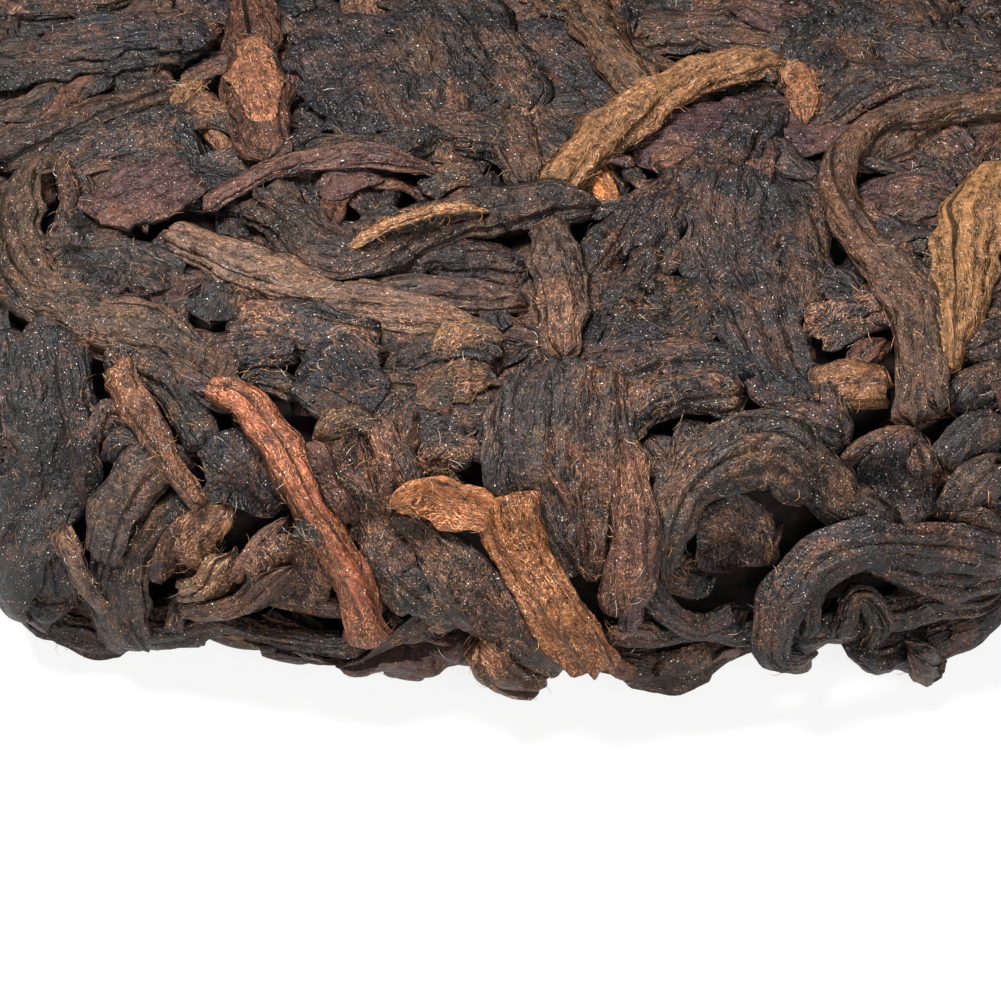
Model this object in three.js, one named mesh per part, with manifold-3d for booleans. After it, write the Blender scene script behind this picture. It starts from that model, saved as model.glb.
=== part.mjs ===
// A small pressed cake of ripe pu erh tea: a round disc of whole dark leaves, steamed and pressed together.
// Its top is slightly domed, its rim is round and uneven, and its underside is flat with a shallow navel.
// Millimetres, +Z up. The origin is on the surface that the cake lies on, under the middle of the disc.
import * as THREE from "three";
import { mergeVertices } from "three/addons/utils/BufferGeometryUtils.js";
import Module from "manifold-3d";

const wasm = await Module();
wasm.setup();

// The pressed body, measured where the leaves' outer faces lie on average.
const BODY_RADIUS = 53.4;
const RIM_ROUNDING = 8.2; // how far in from the widest point the flat faces begin
const RIM_HEIGHT = 16.4; // thickness where the top face meets the rounded rim
const CENTRE_HEIGHT = 18.8; // thickness of the domed top above the table
const FACE_RADIUS = BODY_RADIUS - RIM_ROUNDING;
const NAVEL_RADIUS = 17;
const NAVEL_DEPTH = 7;

// The core is what lies between the leaves that show.
const CORE_SINK = 0.75; // how far the core lies below the leaves' mean outer face
const CORE_SIDES = 36;
const CORE_RELIEF = 0.35; // lumps of packed leaf on the core
const TOP_STEPS = 6;
const RIM_STEPS = 7;
const BASE_STEPS = 3;
const NAVEL_STEPS = 5;

// A leaf as it is pressed into the cake: a flattened roll with tapered ends.
const LEAF_LENGTH = 16;
const LEAF_WIDTH = 5.2;
const LEAF_THICKNESS = 1.3;
const LEAF_ROOT = 1.7; // how far a leaf reaches down into the cake below its seat
const RIM_SWEEP = 0.84 * Math.PI; // how far round the rim's curve its leaves are seated
const LEAF_SIDES = 6;
const LEAF_STEPS = 4;
const BLUNTNESS = 0.4; // 1 tapers the ends like an egg, 0 leaves them square
const TOP_LEAVES = 44;
const RIM_LEAVES = 46;
const BASE_LEAVES = 28;
const NAVEL_LEAVES = 3;

const GOLDEN_ANGLE = Math.PI * (3 - Math.sqrt(5));
const SPREAD_ROUND = 0.754878; // steps that spread points evenly over a band, round it
const SPREAD_ACROSS = 0.56984; // and across it
const SLAB = 200; // wider and taller than the cake
const MERGE_GAP = 0.002;
const SEED = 20;

// A repeatable random number from 0 to 1.
function randomFrom(seed) {
  let state = seed;
  return () => {
    state = (state + 0x6d2b79f5) | 0;
    let mixed = Math.imul(state ^ (state >>> 15), 1 | state);
    mixed = (mixed + Math.imul(mixed ^ (mixed >>> 7), 61 | mixed)) ^ mixed;
    return ((mixed ^ (mixed >>> 14)) >>> 0) / 4294967296;
  };
}

const random = randomFrom(SEED);
const between = (low, high) => low + (high - low) * random();

// Height of the domed top face at a radius.
function topHeight(radius) {
  const share = Math.min(radius / FACE_RADIUS, 1);
  return CENTRE_HEIGHT - (CENTRE_HEIGHT - RIM_HEIGHT) * share ** 2.4;
}

// Height of the underside at a radius: flat, with the navel's smooth hollow in the middle.
function baseHeight(radius) {
  const share = Math.min(radius / NAVEL_RADIUS, 1);
  return (NAVEL_DEPTH / 2) * (1 + Math.cos(Math.PI * share));
}

// Half of the cake's outline, from the middle of the top round the rim to the middle of the underside.
function outline(topSteps, rimSteps, baseSteps, navelSteps) {
  const points = [];
  for (let i = 0; i < topSteps; i++) {
    const radius = (FACE_RADIUS * i) / topSteps;
    points.push(new THREE.Vector2(radius, topHeight(radius)));
  }
  for (let i = 0; i <= rimSteps; i++) {
    const angle = Math.PI / 2 - (Math.PI * i) / rimSteps;
    points.push(
      new THREE.Vector2(
        FACE_RADIUS + RIM_ROUNDING * Math.cos(angle),
        (RIM_HEIGHT / 2) * (1 + Math.sin(angle)),
      ),
    );
  }
  for (let i = 1; i <= baseSteps; i++) {
    points.push(new THREE.Vector2(FACE_RADIUS + ((NAVEL_RADIUS - FACE_RADIUS) * i) / baseSteps, 0));
  }
  for (let i = 1; i <= navelSteps; i++) {
    const radius = NAVEL_RADIUS * (1 - i / navelSteps);
    points.push(new THREE.Vector2(radius, baseHeight(radius)));
  }
  return points;
}

// The outline in fine steps, each with its outward normal, for seating leaves on it.
const fine = outline(90, 60, 40, 40);
const stations = fine.map((point, i) => {
  const before = fine[Math.max(i - 1, 0)];
  const after = fine[Math.min(i + 1, fine.length - 1)];
  const run = after.clone().sub(before).normalize();
  return { radius: point.x, height: point.y, outR: -run.y, outZ: run.x };
});
// The place on the cake's outer face that is nearest to a point, and the face's normal there.
function seatAt(point) {
  const radius = Math.hypot(point.x, point.y);
  let best = stations[0];
  let least = Infinity;
  for (const station of stations) {
    const gap = (station.radius - radius) ** 2 + (station.height - point.z) ** 2;
    if (gap < least) {
      least = gap;
      best = station;
    }
  }
  const outX = radius > 1e-6 ? point.x / radius : 1;
  const outY = radius > 1e-6 ? point.y / radius : 0;
  return {
    place: new THREE.Vector3(best.radius * outX, best.radius * outY, best.height),
    normal: new THREE.Vector3(best.outR * outX, best.outR * outY, best.outZ),
  };
}

// A closed three.js geometry as a solid for joining and cutting.
function solidOf(geometry) {
  const plain = geometry.clone();
  plain.deleteAttribute("normal");
  plain.deleteAttribute("uv");
  const merged = mergeVertices(plain, 1e-4);
  return new wasm.Manifold(
    new wasm.Mesh({
      numProp: 3,
      vertProperties: new Float32Array(merged.attributes.position.array),
      triVerts: new Uint32Array(merged.index.array),
    }),
  );
}

// Low lumps, the same size as the leaves, that vary smoothly round the cake.
function lumps(point) {
  return (
    CORE_RELIEF *
    (Math.sin(point.x * 0.83 + 1.3 * Math.sin(point.y * 0.41)) +
      Math.sin(point.y * 0.77 + 1.7 * Math.cos(point.x * 0.37) + point.z * 0.5)) *
    0.5
  );
}

// The packed core: the outline turned round the axis, sunk below the leaves and made lumpy.
function coreGeometry() {
  const profile = outline(TOP_STEPS, RIM_STEPS, BASE_STEPS, NAVEL_STEPS);
  profile.reverse(); // LatheGeometry faces outwards when its profile runs upwards
  const core = new THREE.LatheGeometry(profile, CORE_SIDES);
  core.rotateX(Math.PI / 2);
  const position = core.attributes.position;
  const point = new THREE.Vector3();
  for (let i = 0; i < position.count; i++) {
    point.fromBufferAttribute(position, i);
    const onAxis = Math.hypot(point.x, point.y) < 1e-3;
    if (onAxis) point.set(0, 0, point.z);
    const { normal } = seatAt(point);
    if (onAxis) normal.set(0, 0, point.z > RIM_HEIGHT / 2 ? 1 : -1);
    point.addScaledVector(normal, (onAxis ? 0 : lumps(point)) - CORE_SINK);
    position.setXYZ(i, point.x, point.y, point.z);
  }
  return core;
}

// One pressed leaf: a ball drawn out along its heading, flattened, bent sideways and laid on the cake's face.
function leafGeometry({ at, heading, length, width, thickness, bend, lift, wave }) {
  const leaf = new THREE.SphereGeometry(1, LEAF_SIDES, LEAF_STEPS);
  const seat = seatAt(at);
  const side = new THREE.Vector3().crossVectors(new THREE.Vector3(0, 0, 1), seat.place).normalize();
  const down = new THREE.Vector3().crossVectors(side, seat.normal).normalize();
  const along = side.clone().multiplyScalar(Math.cos(heading)).addScaledVector(down, Math.sin(heading));
  const across = new THREE.Vector3().crossVectors(along, seat.normal);
  const position = leaf.attributes.position;
  const turn = between(0, Math.PI);
  for (let i = 0; i < position.count; i++) {
    const step = position.getY(i);
    const girth = Math.hypot(position.getX(i), position.getZ(i));
    const full = girth > 1e-4 ? girth ** BLUNTNESS / girth : 0;
    const sideways = (position.getX(i) * full * width) / 2 + bend * length * (step * step - 0.3);
    const rise = position.getZ(i) * full;
    const face = (rise * thickness) / 2 + lift + wave * Math.sin(2.6 * step + turn);
    const out = rise > 0 ? face : rise * LEAF_ROOT;
    const spot = seat.place.clone().addScaledVector(along, (step * length) / 2).addScaledVector(across, sideways);
    const under = seatAt(spot);
    under.place.addScaledVector(under.normal, out);
    position.setXYZ(i, under.place.x, under.place.y, under.place.z);
  }
  return leaf;
}

// A leaf of ordinary size, varied at random.
function someLeaf(at, heading, lift) {
  return leafGeometry({
    at,
    heading,
    length: LEAF_LENGTH * between(0.72, 1.3),
    width: LEAF_WIDTH * between(0.7, 1.25),
    thickness: LEAF_THICKNESS * between(0.85, 1.2),
    bend: between(-0.16, 0.16),
    lift,
    wave: between(0.05, 0.3),
  });
}

// Leaves over a ring of a flat face, evenly spread by the golden angle.
function facePlaces(count, inner, outer, height) {
  return Array.from({ length: count }, (_, i) => {
    const radius = Math.sqrt(inner ** 2 + (outer ** 2 - inner ** 2) * ((i + 0.5) / count));
    const angle = i * GOLDEN_ANGLE;
    return new THREE.Vector3(radius * Math.cos(angle), radius * Math.sin(angle), height(radius));
  });
}

// Leaves round the rim, evenly spread round it and stepped up and down its rounding.
function rimPlaces(count) {
  return Array.from({ length: count }, (_, i) => {
    const round = ((i * SPREAD_ROUND) % 1) * 2 * Math.PI;
    const rise = (((i * SPREAD_ACROSS) % 1) - 0.5) * RIM_SWEEP;
    const radius = FACE_RADIUS + RIM_ROUNDING * Math.cos(rise);
    return new THREE.Vector3(
      radius * Math.cos(round),
      radius * Math.sin(round),
      (RIM_HEIGHT / 2) * (1 + Math.sin(rise)),
    );
  });
}

function allLeaves() {
  const leaves = [];
  for (const at of facePlaces(TOP_LEAVES, 0, FACE_RADIUS + 1, topHeight)) {
    leaves.push(someLeaf(at, between(0, Math.PI), between(-0.35, 0.1)));
  }
  for (const at of rimPlaces(RIM_LEAVES)) {
    leaves.push(someLeaf(at, between(-0.9, 0.9), between(-0.25, 0.45)));
  }
  for (const at of facePlaces(BASE_LEAVES, NAVEL_RADIUS, FACE_RADIUS, () => 0)) {
    leaves.push(someLeaf(at, between(0, Math.PI), between(-0.4, -0.1)));
  }
  for (const at of facePlaces(NAVEL_LEAVES, 0, NAVEL_RADIUS * 0.8, baseHeight)) {
    leaves.push(someLeaf(at, between(0, Math.PI), -0.35));
  }
  return leaves;
}

// A solid's mesh as a three.js geometry, its points merged where they all but touch.
function geometryOf(solid) {
  const made = solid.getMesh();
  const geometry = new THREE.BufferGeometry();
  geometry.setAttribute("position", new THREE.BufferAttribute(new Float32Array(made.vertProperties), 3));
  geometry.setIndex(new THREE.BufferAttribute(new Uint32Array(made.triVerts), 1));
  return mergeVertices(geometry, MERGE_GAP);
}

// The largest body of a solid, without the sealed gaps and loose scraps that joining many leaves makes.
function mainBody(solid) {
  return solid.decompose().sort((a, b) => b.volume() - a.volume())[0];
}

// The leaves are fused to the core, and the underside is pressed flat on the table.
function cakeSolid() {
  const fused = wasm.Manifold.union([solidOf(coreGeometry()), ...allLeaves().map(solidOf)]);
  const aboveTable = new THREE.BoxGeometry(SLAB, SLAB, SLAB).translate(0, 0, SLAB / 2);
  const pressed = mainBody(fused.intersect(solidOf(aboveTable)));
  return mainBody(solidOf(geometryOf(pressed)));
}

// The cake's mesh, with the middle of its box over the origin.
function cakeGeometry() {
  const geometry = geometryOf(cakeSolid());
  geometry.computeBoundingBox();
  const middle = geometry.boundingBox.getCenter(new THREE.Vector3());
  geometry.translate(-middle.x, -middle.y, -geometry.boundingBox.min.z);
  geometry.computeVertexNormals();
  return geometry;
}

const ripeLeaf = new THREE.MeshStandardMaterial({
  color: new THREE.Color("#43342d"),
  roughness: 0.72,
  metalness: 0,
  flatShading: true,
});

const teaCake = new THREE.Mesh(cakeGeometry(), ripeLeaf);
teaCake.name = "tea_cake";

const group = new THREE.Group();
group.add(teaCake);

export default group;
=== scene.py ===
"""A small pressed cake of ripe pu erh tea, seen close at its rim: rolled leaves, blades, stalks and downy tips.

Lengths inside the script are millimetres, and meshes are written in metres.
"""

import math

import bmesh
import bpy
import numpy as np
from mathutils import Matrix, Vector


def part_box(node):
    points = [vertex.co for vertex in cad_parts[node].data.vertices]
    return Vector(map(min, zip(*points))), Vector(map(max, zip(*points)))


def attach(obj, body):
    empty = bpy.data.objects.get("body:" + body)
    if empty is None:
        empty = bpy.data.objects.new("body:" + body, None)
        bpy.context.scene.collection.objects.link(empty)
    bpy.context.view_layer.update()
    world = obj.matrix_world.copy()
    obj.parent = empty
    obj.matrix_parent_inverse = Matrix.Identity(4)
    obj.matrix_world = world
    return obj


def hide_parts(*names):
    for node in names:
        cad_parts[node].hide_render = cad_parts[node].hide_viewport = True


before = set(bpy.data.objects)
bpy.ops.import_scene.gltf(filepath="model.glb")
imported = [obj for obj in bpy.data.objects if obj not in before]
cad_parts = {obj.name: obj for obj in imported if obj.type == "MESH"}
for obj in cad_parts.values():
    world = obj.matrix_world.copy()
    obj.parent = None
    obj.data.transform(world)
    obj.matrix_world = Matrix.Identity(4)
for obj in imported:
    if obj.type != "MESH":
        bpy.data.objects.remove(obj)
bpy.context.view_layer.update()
NODE = "tea_cake"
METRES = 0.001

# The pressed body, worked out from the frame's box. The shares are those of common small cakes.
box_low, box_high = (np.array(corner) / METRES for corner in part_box(NODE))
LEAF_PROUD = 0.5  # how far the outermost leaves stand above the mean outer face
BODY_RADIUS = (box_high[0] - box_low[0]) / 2 - LEAF_PROUD
CENTRE_HEIGHT = box_high[2] - LEAF_PROUD
RIM_HEIGHT = CENTRE_HEIGHT * 0.873  # of the top face where it meets the rim
RIM_ROUNDING = BODY_RADIUS * 0.154  # how far the rounded rim stands out past the flat faces
FACE_RADIUS = BODY_RADIUS - RIM_ROUNDING
NAVEL_RADIUS = BODY_RADIUS * 0.318  # of the hollow underneath
NAVEL_DEPTH = CENTRE_HEIGHT * 0.37
DOME_POWER = 2.4  # how late the top face falls away towards the rim

# The photograph's view. Pixel places are in its 1001 by 1001 frame.
PHOTO_SIDE = 1001
PHOTO_MIDDLE = PHOTO_SIDE / 2
VIEW_ELEVATION = math.radians(38)
PIXELS_PER_MM = 20.85
VIEW_DISTANCE = 300
SENSOR = 36
LENS = PIXELS_PER_MM * VIEW_DISTANCE * SENSOR / PHOTO_SIDE
AXIS_PIXEL_X = 542  # where the disc's middle line meets the rim
EDGE_PIXEL_Y = 688  # the lowest part of the rim's outline
RAY_BEFORE, RAY_PAST, RAY_STEP = 30, 70, 0.2  # where sight lines are searched, from VIEW_DISTANCE on
FRONT_X, FRONT_Y = (-90, 1090), (-90, 760)  # pixels round the part in view
FRONT_TURN = 0.25  # how far a leaf in view may face away

# Colours of dry leaf, as linear reflectance.
INK = (0.0120, 0.0115, 0.0140)
COAL = (0.0190, 0.0155, 0.0150)
BARK = (0.0420, 0.0230, 0.0165)
RUSSET = (0.0720, 0.0250, 0.0150)
PLUM = (0.0480, 0.0220, 0.0215)
TAN = (0.1750, 0.0800, 0.0370)
AMBER = (0.2800, 0.0950, 0.0270)

SEED = 11
rng = np.random.default_rng(SEED)


def unit(v):
    """Vectors made one long."""
    return v / np.maximum(np.linalg.norm(v, axis=-1, keepdims=True), 1e-9)


# The outline of the disc, as stations along its half section.
TOP_STATIONS, RIM_STATIONS, BASE_STATIONS, NAVEL_STATIONS = 120, 80, 60, 50


def outline():
    """Radius and height from the middle of the top, round the rim, to the middle of the navel."""
    top_r = np.linspace(0, FACE_RADIUS, TOP_STATIONS, endpoint=False)
    top_z = CENTRE_HEIGHT - (CENTRE_HEIGHT - RIM_HEIGHT) * (top_r / FACE_RADIUS) ** DOME_POWER
    turn = np.linspace(math.pi / 2, -math.pi / 2, RIM_STATIONS)
    rim_r = FACE_RADIUS + RIM_ROUNDING * np.cos(turn)
    rim_z = RIM_HEIGHT / 2 * (1 + np.sin(turn))
    base_r = np.linspace(FACE_RADIUS, NAVEL_RADIUS, BASE_STATIONS)[1:]
    base_z = np.zeros_like(base_r)
    navel_r = np.linspace(NAVEL_RADIUS, 0, NAVEL_STATIONS)[1:]
    navel_z = NAVEL_DEPTH / 2 * (1 + np.cos(np.pi * navel_r / NAVEL_RADIUS))
    return np.concatenate([top_r, rim_r, base_r, navel_r]), np.concatenate([top_z, rim_z, base_z, navel_z])


class Body:
    """The mean outer face of the disc: nearest places, normals and distances along the half section."""

    CELL = 0.3  # of the table of nearest places
    LOW_Z = -9.0
    HIGH_R, HIGH_Z = 72.0, 32.0

    def __init__(self):
        self.r, self.z = outline()
        run_r, run_z = np.gradient(self.r), np.gradient(self.z)
        size = np.hypot(run_r, run_z)
        self.out_r, self.out_z = -run_z / size, run_r / size
        self.s = np.concatenate([[0], np.cumsum(np.hypot(np.diff(self.r), np.diff(self.z)))])
        grid_r = np.arange(0, self.HIGH_R, self.CELL)
        grid_z = np.arange(self.LOW_Z, self.HIGH_Z, self.CELL)
        gap = (grid_r[:, None, None] - self.r) ** 2 + (grid_z[None, :, None] - self.z) ** 2
        near = gap.argmin(axis=2)
        past = (grid_r[:, None] - self.r[near]) * (run_r / size)[near]
        past += (grid_z[None, :] - self.z[near]) * (run_z / size)[near]
        self.lookup = np.clip(self.s[near] + np.clip(past, -self.CELL, self.CELL), 0, self.s[-1])
        self.shoulder = float(self.s[TOP_STATIONS])
        self.foot = float(self.s[TOP_STATIONS + RIM_STATIONS])
        self.navel = float(self.s[TOP_STATIONS + RIM_STATIONS + BASE_STATIONS - 2])
        self.end = float(self.s[-1])

    def along(self, points):
        """Distance along the half section of the place nearest to each point."""
        radius = np.hypot(points[..., 0], points[..., 1])
        col = np.clip(radius / self.CELL, 0, self.lookup.shape[0] - 1.001)
        row = np.clip((points[..., 2] - self.LOW_Z) / self.CELL, 0, self.lookup.shape[1] - 1.001)
        i, j = col.astype(int), row.astype(int)
        u, v = col - i, row - j
        t = self.lookup
        return (t[i, j] * (1 - u) + t[i + 1, j] * u) * (1 - v) + (t[i, j + 1] * (1 - u) + t[i + 1, j + 1] * u) * v

    def seat(self, points):
        """Nearest places on the face, the outward normals there, and the distances along the section."""
        s = self.along(points)
        radius = np.maximum(np.hypot(points[..., 0], points[..., 1]), 1e-6)
        x, y = points[..., 0] / radius, points[..., 1] / radius
        r, z = np.interp(s, self.s, self.r), np.interp(s, self.s, self.z)
        out_r, out_z = np.interp(s, self.s, self.out_r), np.interp(s, self.s, self.out_z)
        size = np.hypot(out_r, out_z)
        out_r, out_z = out_r / size, out_z / size
        return np.stack([r * x, r * y, z], -1), np.stack([out_r * x, out_r * y, out_z], -1), s

    def place(self, s, angle):
        """The place on the face at a distance along the section and an angle round the axis."""
        r, z = np.interp(s, self.s, self.r), np.interp(s, self.s, self.z)
        return np.stack([r * np.cos(angle), r * np.sin(angle), z], -1)


BODY = Body()

# The camera.
FORWARD = np.array([0, math.cos(VIEW_ELEVATION), -math.sin(VIEW_ELEVATION)])
UP = np.array([0, math.sin(VIEW_ELEVATION), math.cos(VIEW_ELEVATION)])
RIGHT = np.array([1.0, 0, 0])


def camera_place():
    """Where the camera stands, so that the rim's lowest outline falls on its place in the photograph."""
    below = math.pi / 2 - VIEW_ELEVATION
    edge = np.array([0, -(FACE_RADIUS + RIM_ROUNDING * math.cos(below)), RIM_HEIGHT / 2 * (1 - math.sin(below))])
    up_shift = (EDGE_PIXEL_Y - PHOTO_MIDDLE) / PIXELS_PER_MM
    side_shift = (AXIS_PIXEL_X - PHOTO_MIDDLE) / PIXELS_PER_MM
    return edge - FORWARD * VIEW_DISTANCE + UP * up_shift - RIGHT * side_shift


CAMERA = camera_place()


def make_camera():
    """The camera of the photograph's view."""
    data = bpy.data.cameras.new("photo_view")
    data.lens, data.sensor_width = LENS, SENSOR
    data.clip_start, data.clip_end = 0.01, 10
    camera = bpy.data.objects.new("photo_view", data)
    bpy.context.scene.collection.objects.link(camera)
    camera.location = Vector(CAMERA * METRES)
    camera.rotation_euler = Vector(FORWARD).to_track_quat("-Z", "Y").to_euler()
    bpy.context.scene.camera = camera


def pixels_of(points):
    """Where points fall in the photograph's frame."""
    rel = points - CAMERA
    scale = PIXELS_PER_MM * VIEW_DISTANCE / (rel @ FORWARD)
    return PHOTO_MIDDLE + rel @ RIGHT * scale, PHOTO_MIDDLE - rel @ UP * scale


def under_pixels(pixels, lift):
    """The places on the disc, under a skin that stands lift above its face, that pixels look at."""
    pixels = np.asarray(pixels, float)
    reach = PIXELS_PER_MM * VIEW_DISTANCE
    ray = FORWARD + np.outer((pixels[:, 0] - PHOTO_MIDDLE) / reach, RIGHT)
    ray = ray - np.outer((pixels[:, 1] - PHOTO_MIDDLE) / reach, UP)
    steps = np.arange(VIEW_DISTANCE - RAY_BEFORE, VIEW_DISTANCE + RAY_PAST, RAY_STEP)
    points = CAMERA + ray[:, None, :] * steps[None, :, None]
    places, normals, _ = BODY.seat(points)
    height = ((points - places) * normals).sum(-1) - lift
    under = height < 0
    hit = np.where(under.any(1), under.argmax(1), np.abs(height).argmin(1))
    return places[np.arange(len(pixels)), hit]


class Pile:
    """How high the leaves laid so far stand above the mean face, kept in cells along that face."""

    CELL = 0.5
    LOW = np.array([-62.0, -62.0, -3.0])
    COUNT = np.array([248, 248, 50])
    TOP_BED, RIM_BED, BASE_BED = -1.5, -2.8, -0.8  # heights of the core under the leaves
    LEAST_WEIGHT = 0.04  # share of a cell below which a leaf isn't noted in it
    FULL_SHARE = 0.35  # share of noted cells round a place that hides the core there

    def __init__(self):
        self.top = np.full(self.COUNT.prod(), np.nan)

    def bed(self, s):
        """The height of the core under the leaves."""
        knots = [0, BODY.shoulder - 4, BODY.shoulder + 3, BODY.foot - 4, BODY.foot + 2, BODY.end]
        heights = [self.TOP_BED, self.TOP_BED, self.RIM_BED, self.RIM_BED, self.BASE_BED, self.BASE_BED]
        return np.interp(s, knots, heights)

    def _corners(self, places):
        """The eight cells round each place, with the share of each."""
        at = (places.reshape(-1, 3) - self.LOW) / self.CELL
        whole = np.floor(at).astype(int)
        part = at - whole
        for corner in np.ndindex(2, 2, 2):
            cell = np.clip(whole + corner, 0, self.COUNT - 1)
            weight = np.prod(np.where(corner, part, 1 - part), axis=1)
            yield (cell[:, 0] * self.COUNT[1] + cell[:, 1]) * self.COUNT[2] + cell[:, 2], weight

    def add(self, places, heights):
        """Notes the upper side of a leaf."""
        heights = heights.reshape(-1)
        for cell, weight in self._corners(places):
            near = weight > self.LEAST_WEIGHT
            np.fmax.at(self.top, cell[near], heights[near])

    def read(self, places, s):
        """The height of what lies under some places."""
        total = np.zeros(s.size)
        share = np.zeros(s.size)
        for cell, weight in self._corners(places):
            value = self.top[cell]
            there = ~np.isnan(value)
            total[there] += value[there] * weight[there]
            share[there] += weight[there]
        bed = self.bed(s).reshape(-1)
        mean = total / np.maximum(share, 1e-6)
        cover = np.clip(share / self.FULL_SHARE, 0, 1)
        return (bed + (mean - bed) * cover).reshape(s.shape)


class Batch:
    """Many closed tubes joined into one mesh, with the colour and the grain of each."""

    def __init__(self, name):
        self.name = name
        self.tubes = []

    def tube(self, rings, grain, tone, down, cover=None, tip=None):
        """Keeps rings of points for a tube closed at both ends. Grain, tone and down go with the points."""
        tips = rings[[0, -1]].mean(axis=1)
        if tip is not None:
            tips[1] = tip
        self.tubes.append((rings, grain, tone, down, cover, tips))

    def drop_hidden(self, depth):
        """Leaves out the tubes that lie deeper than this under later leaves along all their length."""
        kept = []
        for tube in self.tubes:
            places, crown = tube[4]
            above = pile.read(places, BODY.along(places)) - crown
            if above.min() < depth:
                kept.append(tube)
        self.tubes = kept

    def build(self, material, slot):
        """Writes the tubes as one mesh of outward faces, with a point in the middle of each end."""
        ends = [0, -1]
        points, grains, tones, downs, corners, sizes = [], [], [], [], [], []
        count = 0
        for rings, grain, tone, down, _, tips in self.tubes:
            steps, columns = rings.shape[:2]
            points += [rings.reshape(-1, 3), tips]
            grains += [grain.reshape(-1, 3), grain[ends].mean(axis=1)]
            tones += [tone.reshape(-1, 3), tone[ends].mean(axis=1)]
            downs += [down.reshape(-1), down[ends].mean(axis=1)]
            index = count + np.arange(steps * columns).reshape(steps, columns)
            beside = np.roll(index, -1, axis=1)
            first, last = count + steps * columns, count + steps * columns + 1
            quads = np.stack([beside[:-1], index[:-1], index[1:], beside[1:]], -1)
            front = np.stack([index[0], beside[0], np.full(columns, first)], -1)
            back = np.stack([beside[-1], index[-1], np.full(columns, last)], -1)
            corners += [quads.reshape(-1), front.reshape(-1), back.reshape(-1)]
            sizes += [np.full((steps - 1) * columns, 4), np.full(2 * columns, 3)]
            count += steps * columns + 2
        mesh = bpy.data.meshes.new(self.name)
        corners, sizes = np.concatenate(corners), np.concatenate(sizes)
        mesh.vertices.add(count)
        mesh.vertices.foreach_set("co", (np.concatenate(points) * METRES).astype(np.float32).ravel())
        mesh.loops.add(len(corners))
        mesh.loops.foreach_set("vertex_index", corners.astype(np.int32))
        mesh.polygons.add(len(sizes))
        mesh.polygons.foreach_set("loop_start", np.concatenate([[0], np.cumsum(sizes)[:-1]]).astype(np.int32))
        mesh.polygons.foreach_set("use_smooth", np.ones(len(sizes), bool))
        mesh.update(calc_edges=True)
        rgba = np.concatenate([np.concatenate(tones), np.ones((count, 1))], axis=1)
        for name, kind, field, values in (
            ("tone", "FLOAT_COLOR", "color", rgba),
            ("grain", "FLOAT_VECTOR", "vector", np.concatenate(grains)),
            ("down", "FLOAT", "value", np.concatenate(downs)),
        ):
            attribute = mesh.attributes.new(name, kind, "POINT")
            attribute.data.foreach_set(field, values.astype(np.float32).ravel())
        mesh.validate()
        mesh.materials.append(material)
        piece = bpy.data.objects.new(self.name, mesh)
        bpy.context.scene.collection.objects.link(piece)
        dress(piece)


def dress(piece):
    """Hangs a piece on the root and hides the part of the frame that it stands for."""
    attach(piece, "root")
    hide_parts(NODE)


pile = Pile()
batches = {}


def batch(name):
    """The batch of a name, made when it is first asked for."""
    return batches.setdefault(name, Batch(name))


def ripple(at, wave):
    """A smooth random curve of about unit height along distances, with the given shortest wave length."""
    total = np.zeros_like(at, dtype=float)
    for stretch in (1.0, 1.7, 2.9):
        total += math.sqrt(stretch) * np.sin(2 * np.pi * at / (wave * stretch) + rng.uniform(0, 2 * np.pi))
    return total / 2.6


RELIEF_WAVES, RELIEF_TURNS, RELIEF_LENGTH = 5, 2, 2.6


def relief(along, round_turns):
    """A smooth random relief of about unit height on a closed tube."""
    total = np.zeros(np.broadcast(along, round_turns).shape)
    for _ in range(RELIEF_WAVES):
        turns = rng.integers(-RELIEF_TURNS, RELIEF_TURNS + 1)
        pitch = rng.uniform(0.25, 1.0) / RELIEF_LENGTH
        total += np.sin(2 * np.pi * (along * pitch + round_turns * turns) + rng.uniform(0, 2 * np.pi))
    return total / math.sqrt(RELIEF_WAVES)


CREASE_LAYERS = 3
CREASE_TURN = 0.9  # the most that creases turn away from the way across the leaf
CREASE_SIZES = (0.7, 1.8)


def creases(along, across, wave):
    """Sharp folds in crossing directions, as on a crushed leaf, from 0 in the folds to about 1."""
    total = np.zeros(np.broadcast(along, across).shape)
    for _ in range(CREASE_LAYERS):
        turn = rng.uniform(-CREASE_TURN, CREASE_TURN)
        size = wave * rng.uniform(*CREASE_SIZES)
        warp = 0.35 * np.sin(along / wave * rng.uniform(0.6, 1.6) + rng.uniform(0, 6))
        lane = (across * math.cos(turn) + along * math.sin(turn)) / size + warp + rng.uniform(0, 2)
        total += np.abs(np.sin(np.pi * lane)) ** 0.7
    return total / CREASE_LAYERS


def smooth_along(values, step, reach):
    """Values evened out along the leaf, over about the given length."""
    at = np.arange(len(values)) * step
    weight = np.exp(-((at[:, None] - at[None, :]) ** 2) / (2 * reach**2))
    return (weight / weight.sum(axis=1, keepdims=True)) @ values


def spread(measure, u):
    """A measure along the leaf, from one number or from a few evenly spaced ones."""
    knots = np.atleast_1d(measure)
    return np.interp(u, np.linspace(0, 1, len(knots)), knots)


SLIMMEST = 0.02  # share of its width that a leaf keeps at its very end


def taper(u, length, start, end, blunt=0.5):
    """The width along a leaf: full in the middle and rounded off over start and end millimetres."""
    at = u * length
    head = np.clip(at / start, 0, 1)
    tail = np.clip((length - at) / end, 0, 1)
    return np.maximum((head * (2 - head)) ** blunt * (tail * (2 - tail)) ** blunt, SLIMMEST)


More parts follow.
